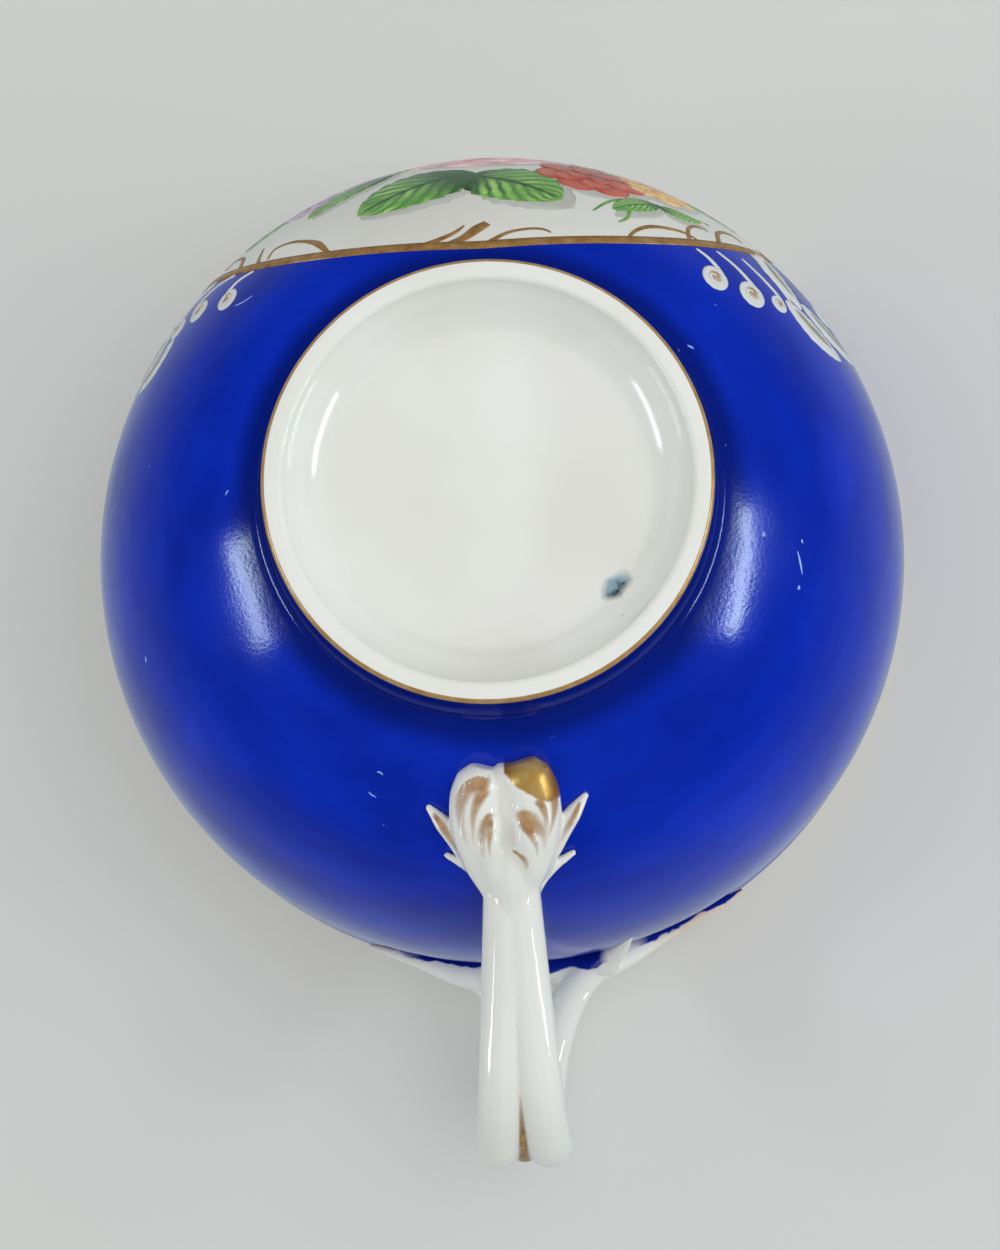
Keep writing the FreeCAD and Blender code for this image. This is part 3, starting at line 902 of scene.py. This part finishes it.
# %% Scroll finishes
def make_enamel(name, dark, light, roughness=0.22):
    """Opaque enamel that drifts between two colours."""
    material, surface = new_finish(name, roughness)
    tone = add_glaze(surface, roughness, 0.2)
    streak = noise(object_place(surface), 700, 3)
    share = maths("MULTIPLY_ADD", streak, 0.6, times(tone, 0.4))
    link(mixed(share, dark, light), surface, "Base Color")
    return material


SCROLL_WHITE = make_enamel("scroll_white", shade(198, 202, 206), shade(226, 227, 222))
SCROLL_GREY = make_enamel("scroll_grey", shade(126, 128, 112), shade(168, 166, 146))
print("scroll finishes:", SCROLL_WHITE.name, SCROLL_GREY.name)

# %% Places of the scrolls
VOLUTES = [
    (46.4, 13.1, 1.7), (52.2, 15.6, 1.8), (55.4, 18.7, 1.2), (57.5, 31, 1.8),
    (-48.3, 17.2, 1.5), (-51.6, 22, 1.6), (-55, 25.4, 1.5), (-57.5, 33, 1.8),
]
SCROLL_STEMS = [
    [(39.9, 15), (42.4, 15), (44.6, 14.7), (46.6, 14.3)],
    [(42.3, 17.2), (46.4, 17.3), (50.4, 17), (52.6, 16.8)],
    [(45.5, 20), (50, 20), (54, 19.9), (55.8, 19.4)],
    [(44.2, 24.2), (48.5, 23), (52.5, 22.2), (56, 21.6)],
    [(47, 30), (51, 33.4), (55, 33.4), (58, 32)],
    [(47.6, 34), (50, 37.5), (54, 38.4), (58.5, 36.8)],
    [(48.2, 37), (49.4, 40), (51.6, 42)],
    [(-41.8, 17.4), (-44.4, 18.4), (-46.8, 18.4), (-48.8, 17.8)],
    [(-43.8, 20.6), (-47, 23.4), (-50, 24.2), (-52.2, 23.6)],
    [(-46.2, 25.2), (-50, 27.2), (-53, 27.4), (-55.6, 26.4)],
    [(-44.8, 24.6), (-49, 28.6), (-54, 29.4)],
    [(-47, 32), (-51, 35.4), (-55, 35.4), (-58, 34)],
    [(-47.6, 36), (-50, 39), (-54, 39.6), (-58.5, 37.8)],
    [(-48.2, 37), (-49.4, 40), (-51.6, 42)],
]
SCROLL_LEAVES = [
    ((45, 26.6), (57, 23), 4.6), ((55, 20.6), (66.4, 25.4), 4.4), ((56, 24.2), (66, 31.5), 3.6),
    ((57, 36), (65, 44), 4.2), ((51, 40), (55, 49), 3.4), ((-55, 28), (-65.5, 33), 4),
    ((-57, 24), (-66, 28), 3.2), ((-57, 37), (-65, 45), 4.2), ((-51, 40), (-55, 49), 3.4),
]


def wall_offset(centre, sideways, upwards):
    """A spot beside a centre on the wall, by so many millimetres along it."""
    outward = (centre - BOWL_CENTRE).normalized()
    right = Vector((0, 0, 1)).cross(outward).normalized()
    return centre + right * sideways + outward.cross(right) * upwards


def curl(centre, radius, start, sweep, steps=7, shrink=0.45):
    """Spots on a curl that winds in towards its centre."""
    spots = []
    for step in range(steps):
        share = step / (steps - 1)
        angle = math.radians(start + sweep * share)
        reach = radius * (1 - (1 - shrink) * share)
        spots.append(wall_offset(centre, reach * math.cos(angle), reach * math.sin(angle)))
    return spots


print("volutes, stems and leaves:", len(VOLUTES), len(SCROLL_STEMS), len(SCROLL_LEAVES))

# %% Lay the scrolls
STEM_WIDTHS = [0.35, 0.55, 0.7, 0.5]
CURL_WIDTHS = [0.35, 0.3, 0.25, 0.3, 0.3, 0.25, 0.2]
CURL_START = 80
CURL_SWEEP = 330
SCROLL_BEND = 0.9
whites, tans, greys = new_paint(), new_paint(), new_paint()
for stem in SCROLL_STEMS:
    lay(whites, wall_stroke(stem, STEM_WIDTHS), along=14)
for angle, height, radius in VOLUTES:
    centre = on_wall(angle, height)
    turn = -1 if angle > 0 else 1
    low = wall_offset(centre, turn * -0.5 * radius, -1.1 * radius)
    high = wall_offset(centre, turn * 0.5 * radius, 1.1 * radius)
    lay(whites, blade(low, high, radius * 1.9, round_shape), along=16, across=8, lift=0.06)
    low, high = centre.lerp(low, 0.66), centre.lerp(high, 0.66)
    lay(tans, blade(high, low, radius * 1.2, round_shape), along=14, across=6, lift=0.09)
    winding = curl(centre, radius * 0.62, CURL_START, CURL_SWEEP * turn)
    lay(whites, stroke(winding, CURL_WIDTHS), along=26, lift=0.12)
for base, tip, width in SCROLL_LEAVES:
    first, last = on_wall(*base), on_wall(*tip)
    bend = math.copysign(SCROLL_BEND, base[0])
    lay(whites, blade(first, last, width, leaf_shape, bend), along=16, across=6, lift=0.06)
    middle, end = first.lerp(last, 0.16), first.lerp(last, 0.8)
    lay(greys, blade(middle, end, width * 0.28, leaf_shape, bend * 0.6), along=12, lift=0.1)
finish_paint("scroll_marks", whites, SCROLL_WHITE)
finish_paint("scroll_hearts", tans, TAN_WASH)
finish_paint("scroll_streaks", greys, SCROLL_GREY)

# %% [markdown]
# ## Scratches
# The cup has been used, and the cobalt shows it: a few hairline scratches and pin-head chips where the
# paler glaze under the blue comes through. Each is a very thin stroke, because a mark this small would
# blur in a texture.

# %% Scratches
SCRATCHES = [
    ([(102.2, 11.1), (104, 11.55), (105.9, 12)], [0.08, 0.24, 0.06]),
    ([(108, 11.95), (108.4, 12), (108.8, 11.95)], [0.1, 0.36, 0.1]),
    ([(99.8, 11.35), (100.1, 11.4), (100.4, 11.5)], [0.1, 0.24, 0.1]),
    ([(-155.7, 9.75), (-156.3, 9.7), (-157, 9.8)], [0.06, 0.22, 0.06]),
    ([(-155.3, 11.6), (-156, 11.75), (-156.9, 11.8)], [0.06, 0.18, 0.06]),
    ([(-48.8, 14.9), (-47.6, 14.2), (-45.8, 13.7)], [0.1, 0.16, 0.08]),
    ([(-109.2, 21.3), (-109.5, 21.5), (-109.9, 21.7)], [0.15, 0.3, 0.1]),
    ([(-87, 7), (-87.4, 7.1), (-88, 7.2)], [0.1, 0.2, 0.1]),
    ([(55.8, 6), (56.4, 6.1), (57.2, 6.2)], [0.1, 0.22, 0.1]),
]
SCRATCH_GLAZE = make_enamel("scratch_glaze", shade(96, 136, 226), shade(168, 196, 246))
chips = new_paint()
for spots, widths in SCRATCHES:
    lay(chips, wall_stroke(spots, widths), along=8, lift=0.03)
finish_paint("glaze_scratches", chips, SCRATCH_GLAZE)

# %% [markdown]
# ## The bouquet
# The reserve holds a loose bunch of garden flowers. Only its lower edge shows from below: two green
# leaves, and the rims of a red and an orange bloom. The rest is a plain bunch in the same manner. Every
# flower lies on a grey shadow wash, which is how painters set flowers off from the white.


# %% Leaf and petal finishes
def make_leaf_enamel():
    """Green leaf whose veins and dark strokes follow its UV map, with a long dark base on the left."""
    material, surface = new_finish("leaf_enamel", 0.2)
    add_glaze(surface, 0.16, 0.2)
    along, across = place_on_mark(surface)
    from_middle = away(across, 0.5)
    slant = maths("SUBTRACT", times(along, 7), times(from_middle, 5))
    wave = away(maths("FRACT", slant), 0.5)
    place, (sideways, _, _) = place_in_mm(surface)
    cloud = between(noise(place, 330, 3), 0.35, 0.65)
    green = mixed(cloud, shade(100, 160, 76), shade(158, 208, 112))
    strokes = times(between(wave, 0.16, 0.4), maths("MULTIPLY_ADD", cloud, 0.6, 0.3))
    green = mixed(strokes, green, shade(40, 96, 58))
    dark_end = maths("MULTIPLY_ADD", between(sideways, 1, -1), 0.22, 0.02)
    past_end = maths("DIVIDE", maths("SUBTRACT", along, dark_end), 0.3)
    green = mixed(times(between(past_end, 1, 0), 0.9), green, shade(48, 84, 54))
    midrib = times(between(from_middle, 0.055, 0.02), 0.9)
    link(mixed(midrib, green, shade(44, 80, 52)), surface, "Base Color")
    return material


def make_petal_enamel(name, deep, pale):
    """Petal that is deep at its base and pale towards its edge."""
    material, surface = new_finish(name, 0.2)
    add_glaze(surface, 0.16, 0.2)
    along, across = place_on_mark(surface)
    streak = between(noise(object_place(surface), 650, 3), 0.3, 0.7)
    share = maths("MULTIPLY_ADD", streak, 0.4, times(along, 0.75))
    side = between(away(across, 0.5), 0.32, 0.5)
    share = maths("MAXIMUM", maths("MULTIPLY_ADD", side, -0.2, share), 0)
    link(mixed(share, deep, pale), surface, "Base Color")
    return material


LEAF_ENAMEL = make_leaf_enamel()
SHADOW_WASH = make_enamel("shadow_wash", shade(172, 174, 166), shade(196, 197, 190), 0.16)
print("bouquet finishes:", LEAF_ENAMEL.name, SHADOW_WASH.name)

# %% Leaves and their shadows
LOW_LEAVES = [
    ((-1, 18.6), (-22, 14.5), 10.8, 0.6), ((-2, 17.6), (14.8, 13.2), 10.8, -0.6),
    ((29.5, 19.2), (24, 14.2), 3.2, 0.3), ((30, 19), (36.5, 21.5), 2.6, 0.3),
]
STEMMED_LEAVES = [
    ((-26, 31), (-39, 27), 6, 0.5), ((-25, 37), (-37, 43), 5.5, -0.5),
    ((-8, 38.5), (-16, 50), 6.4, 0.5), ((4, 38.5), (7.5, 50.5), 6.4, -0.5),
    ((15, 33.5), (29.5, 42), 6.6, 0.5), ((26, 29), (40, 32.5), 5.4, 0.4),
    ((-14, 26), (-29, 20.5), 5.6, 0.5),
]
TENDRILS = [
    [(29.2, 19.3), (32, 19.6), (34.7, 21), (37.6, 22.5)],
    [(24.4, 16.9), (22.5, 15.2), (21, 12.8)],
    [(26, 16), (27, 13.8), (26.2, 12.4)],
    [(-12, 43), (-4, 47), (0, 51)],
    [(14, 42), (18, 47), (24, 48.5)],
]
SHADOW_SHIFT = (0.9, -1.1)
BUNCH = (1, 29)
leaves, shadows = new_paint(), new_paint()
for base, tip, width, bend in LOW_LEAVES + STEMMED_LEAVES:
    first, last = on_wall(*base), on_wall(*tip)
    lay(leaves, blade(first, last, width, leaf_shape, bend), along=6 * LEAF_TEETH, across=8, lift=0.08)
    first, last = wall_offset(first, *SHADOW_SHIFT), wall_offset(last.lerp(first, -0.06), *SHADOW_SHIFT)
    lay(shadows, blade(first, last, width * 1.05, leaf_shape, bend), along=18, across=6, lift=0.03)
for base, tip, width, bend in STEMMED_LEAVES:
    middle = ((BUNCH[0] + base[0]) / 2, (BUNCH[1] + base[1]) / 2 + 1)
    lay(leaves, wall_stroke([BUNCH, middle, base], [0.9, 0.7, 0.5]), along=16)
for spots in TENDRILS:
    lay(leaves, wall_stroke(spots, [0.5, 0.4, 0.2]), along=12, lift=0.07)
print("leaves and tendrils:", len(LOW_LEAVES + STEMMED_LEAVES), len(TENDRILS))

# %% [markdown]
# ## Blooms
# A painted rose is rings of petals that grow shorter towards the heart. Each petal is one blade, deep in
# colour at its base and pale at its edge, and each ring lies a little higher than the ring outside it.

# %% Blooms
RINGS = [(7, 0.2, 1, 0.95, 0.10), (6, 0.08, 0.74, 0.78, 0.13), (4, 0, 0.46, 0.52, 0.16)]
BLOOMS = {
    "red_bloom": ((142, 42, 38), (206, 106, 88), [(17.6, 21.2, 6.4)]),
    "orange_bloom": ((196, 116, 56), (240, 206, 142), [(27, 25.6, 5), (-11.5, 42.5, 3.4), (31, 36, 2.6)]),
    "pink_bloom": ((186, 84, 112), (240, 206, 210), [(0, 30, 9.6), (14, 40.5, 3.8), (-23, 43.5, 2.8)]),
    "mauve_bloom": ((132, 92, 146), (216, 196, 220), [(-19, 33, 6.8), (-27.5, 26, 3.2), (3, 43, 2.6)]),
}


def lay_bloom(petals, centre, radius):
    """Lays the rings of one bloom's petals round its centre."""
    for count, inner, outer, width, lift in RINGS:
        for index in range(count):
            turn = math.tau * (index + outer) / count
            way = radius * math.cos(turn), radius * math.sin(turn)
            base = wall_offset(centre, inner * way[0], inner * way[1])
            tip = wall_offset(centre, outer * way[0], outer * way[1])
            lay(petals, blade(base, tip, width * radius, petal_shape), along=8, across=5, lift=lift)


for name, (deep, pale, heads) in BLOOMS.items():
    petals = new_paint()
    for angle, height, radius in heads:
        centre = on_wall(angle, height)
        under = wall_offset(centre, *SHADOW_SHIFT)
        low, high = wall_offset(under, 0, -radius), wall_offset(under, 0, radius)
        lay(shadows, blade(low, high, radius * 2, round_shape), along=16, across=8, lift=0.04)
        lay_bloom(petals, centre, radius)
    finish_paint(name, petals, make_petal_enamel(name + "_enamel", shade(*deep), shade(*pale)))
finish_paint("painted_leaves", leaves, LEAF_ENAMEL)
finish_paint("painted_shadows", shadows, SHADOW_WASH)

# %% [markdown]
# ## Gold on the handle
# The gilder touched the leaf with gold: the right lobe has its burnished cap already, and thin tan strokes
# lie on the others and fade towards the neck. A line of gold also lies in the groove at the bend. These
# strokes are dropped on the handle's own skin, along a ray towards the middle of the bowl.

# %% Strokes on the handle
FAR_OUT = 90
LEAF_LIFT = 2.3
LEAF_TOUCHES = [
    (
        [(-0.9, 35.4), (-2.1, 35.1), (-3.4, 36), (-4.1, 38.2), (-4, 40.9), (-3.5, 43.6)],
        [1, 1.8, 1.8, 1.4, 0.9, 0.4],
    ),
    ([(-1.1, 35.7), (-2, 36.5), (-2.7, 38.5), (-2.9, 40.8), (-3, 42.8)], [1.2, 1.5, 0.9, 0.5, 0.2]),
    ([(-1, 38.6), (-1.6, 39.9), (-2.15, 42), (-1.96, 44.7)], [0.8, 1.4, 0.9, 0.3]),
    ([(-1, 39.2), (-1.24, 41), (-1.39, 42.7), (-1.29, 44.5)], [0.6, 0.7, 0.4, 0.2]),
    ([(1.7, 38.4), (2.5, 39.6), (3.5, 41), (4, 42.3), (4.1, 44.5)], [1.5, 2.5, 1.7, 0.8, 0.3]),
    ([(2.1, 39.6), (2.7, 41.2), (3.2, 43.2), (3.26, 45.4)], [1.6, 1, 0.5, 0.2]),
    ([(5.2, 37.6), (5.25, 39.4), (4.8, 41.3), (4.3, 43)], [1, 0.9, 0.6, 0.2]),
    ([(3.5, 37), (4.1, 38.6), (4.3, 40.3), (4.2, 42.2)], [1.1, 0.9, 0.6, 0.2]),
    ([(8.2, 41.1), (7.3, 42.7), (6.3, 44.4), (5.4, 46.4)], [0.3, 0.8, 0.9, 0.4]),
    ([(-7.4, 41.6), (-6.2, 43.4), (-5, 45.6), (-4.1, 47.4)], [0.4, 1.1, 1.2, 0.5]),
    ([(0.76, 44.3), (1.72, 44.6), (2.09, 45.7), (1.99, 46.8)], [0.4, 0.9, 0.7, 0.3]),
]
GROOVE = [(0, 72.4, 50.5), (0, 72.4, 46.5), (0, 70.6, 42), (0.05, 66, 37), (0.1, 60, 31)]
GROOVE_WIDTHS = [1.8, 2, 1.5, 0.9, 0.3]


def drop_on_handle(spot, lift):
    """The point of the handle's skin under a spot, raised by lift."""
    outward = (spot - BOWL_CENTRE).normalized()
    hit = handle_tree.ray_cast(BOWL_CENTRE + outward * FAR_OUT, -outward)[0]
    if hit is None:
        hit = handle_tree.find_nearest(spot)[0]
    return hit + outward * lift


print("strokes on the leaf:", len(LEAF_TOUCHES))

# %% Lay gold on the handle
touches, groove = new_paint(), new_paint()
for spots, widths in LEAF_TOUCHES:
    leaf_stroke = stroke([on_leaf(across, polar, LEAF_LIFT) for across, polar in spots], widths)
    lay(touches, leaf_stroke, drop_on_handle, along=20, across=4)
lay(groove, stroke([Vector(spot) for spot in GROOVE], GROOVE_WIDTHS), drop_on_handle, along=40, across=6)
finish_paint("leaf_touches", touches, TAN_WASH)
finish_paint("groove_gold", groove, GROOVE_WASH)

# %% [markdown]
# ## Floors
# In the photograph the cup lies on its rim, so the main view needs a pale table at the rim, seen from
# below. The other views stand the cup on its foot. Each table shows only from its own side, and neither
# hides the lights from the cup. The one at the rim is tilted a few degrees, so that a camera at the height
# of the cup doesn't see it as a thin shelf.

# %% Table finish
TABLE_COLOUR = shade(205, 205, 203)


def make_table(name, fade):
    """Pale matte table, clear from behind, that fades out round the cup into the pale room."""
    material, surface = new_finish(name, 0.7)
    surface.inputs["Base Color"].default_value = TABLE_COLOUR
    surface.inputs["Specular IOR Level"].default_value = 0
    hidden = wire(surface, "NewGeometry").outputs["Backfacing"]
    _, (across, along, _) = place_in_mm(surface)
    hidden = maths("MAXIMUM", hidden, between(distance(across, along), *fade))
    clear = wire(surface, "BsdfTransparent").outputs[0]
    shown = wire(surface, "MixShader", {0: hidden, 1: surface.outputs[0], 2: clear}).outputs[0]
    link(shown, material.node_tree.nodes["Material Output"], "Surface")
    return material


print("table colour in linear light:", round(TABLE_COLOUR[0], 3))

# %% Tables
RIM_FADE = (95, 130)
FOOT_FADE = (130, 420)
RIM_TILT = 0.08
RIM_GAP = 0.05
FOOT_GAP = 0.02


def new_table(name, height, faces_up, fade, tilt=0):
    """A round table top that lights and reflections pass through."""
    bm = bmesh.new()
    bmesh.ops.create_circle(bm, cap_ends=True, radius=fade[1], segments=96)
    for vert in bm.verts:
        vert.co.z = height + tilt * (vert.co.y - vert.co.x)
    bm.faces.ensure_lookup_table()
    bm.normal_update()
    if (bm.faces[0].normal.z > 0) != faces_up:
        bmesh.ops.reverse_faces(bm, faces=bm.faces)
    table = new_object(name, bm, make_table(name + "_top", fade))
    table.visible_diffuse = table.visible_glossy = table.visible_transmission = table.visible_shadow = False


clearance = RIM_TILT * wall_radius(RIM_HEIGHT) * math.sqrt(2) + RIM_GAP
new_table("rim_table", RIM_HEIGHT + clearance, False, RIM_FADE, RIM_TILT)
new_table("foot_table", -FOOT_GAP, True, FOOT_FADE)

# %% [markdown]
# ## Light
# Two windows stand left and right and leave one long highlight each on the blue. Large soft lamps above
# and below fill the rest. The long gleams on the stem come from two narrow strips, which are linked to the
# handle alone so that they leave no streaks on the bowl. The world is pale where the camera sees it, and
# darker below for reflections, so that cobalt stays deep.

# %% World
ROOM_LIGHT = (0.54, 0.54, 0.535, 1)
ROOM_BELOW = (0.014, 0.016, 0.017, 1)
ROOM_ABOVE = (0.46, 0.52, 0.52, 1)
world = bpy.data.worlds.new("pale_room")
bpy.context.scene.world = world
world.use_nodes = True
tree = world.node_tree
rays = wire(tree, "LightPath").outputs
upward = wire(tree, "SeparateXYZ", {0: wire(tree, "TexCoord").outputs["Generated"]}).outputs[2]
room = mixed(between(upward, 0.1, 0.95), ROOM_BELOW, ROOM_ABOVE)
colour = mixed(rays["Is Glossy Ray"], ROOM_LIGHT, room)
colour = mixed(rays["Is Camera Ray"], colour, TABLE_COLOUR)
link(colour, tree.nodes["Background"], "Color")
print("world:", world.name)

# %% Lamps
DAYLIGHT = (0.78, 0.95, 1)
PLAIN_LIGHT = (1, 1, 1)
CUP_MIDDLE = Vector((0, 0, 0.03))


def new_lamp(name, place, size, watts, colour, glossy=True):
    """A rectangular lamp that faces the cup, in metres; glossy is whether the glaze mirrors it."""
    lamp = bpy.data.lights.new(name, "AREA")
    lamp.color = colour
    lamp.shape = "RECTANGLE"
    lamp.size, lamp.size_y = size
    lamp.energy = watts
    holder = bpy.data.objects.new(name, lamp)
    place = Vector(place)
    facing = (CUP_MIDDLE - place).to_track_quat("-Z", "Y").to_matrix().to_4x4()
    holder.matrix_world = Matrix.Translation(place) @ facing
    holder.visible_camera = False
    holder.visible_glossy = glossy
    bpy.context.scene.collection.objects.link(holder)
    return holder


new_lamp("window_left", (-0.55, 0.08, -0.16), (0.24, 0.055), 0.58, DAYLIGHT)
new_lamp("window_right", (0.55, 0.08, -0.19), (0.3, 0.05), 0.84, DAYLIGHT)
new_lamp("fill_below", (0.24, -0.01, -0.85), (0.8, 0.8), 4.1, PLAIN_LIGHT, glossy=False)
new_lamp("fill_above", (0.2, -0.3, 0.9), (0.8, 0.8), 4.6, PLAIN_LIGHT, glossy=False)
gleams = bpy.data.collections.new("gleams")
gleams.objects.link(handle_branch)
for name, across in (("gleam_left", -0.43), ("gleam_right", 0.46)):
    strip = new_lamp(name, (across, 0.43, 0.06), (0.035, 0.24), 0.25, PLAIN_LIGHT)
    strip.light_linking.receiver_collection = gleams
print("lamps:", [lamp.name for lamp in bpy.data.lights])

# %% [markdown]
# ## Camera
# The camera was fitted to the outlines of the foot, the bowl and the handle. It looks up at the foot from
# a little to the handle's side, and its own right and up directions set its turn.

# %% Camera
CAMERA_PLACE = Vector((5.51, 40.96, -173.21))
CAMERA_FORWARD = Vector((-0.02719, -0.14885, 0.98849)).normalized()
CAMERA_UP = Vector((0.04287, -0.98812, -0.14761))
LENS = 51.84
NEAREST = 0.01
right = CAMERA_FORWARD.cross(CAMERA_UP).normalized()
turned = Matrix((right, right.cross(CAMERA_FORWARD), -CAMERA_FORWARD)).transposed()
lens = bpy.data.cameras.new("camera")
lens.lens = LENS
lens.clip_start = NEAREST
camera = bpy.data.objects.new("camera", lens)
camera.matrix_world = Matrix.Translation(CAMERA_PLACE * MM) @ turned.to_4x4()
bpy.context.scene.collection.objects.link(camera)
bpy.context.scene.camera = camera
bpy.context.scene.view_settings.view_transform = "Standard"
print("camera at", [round(value) for value in CAMERA_PLACE], "mm")
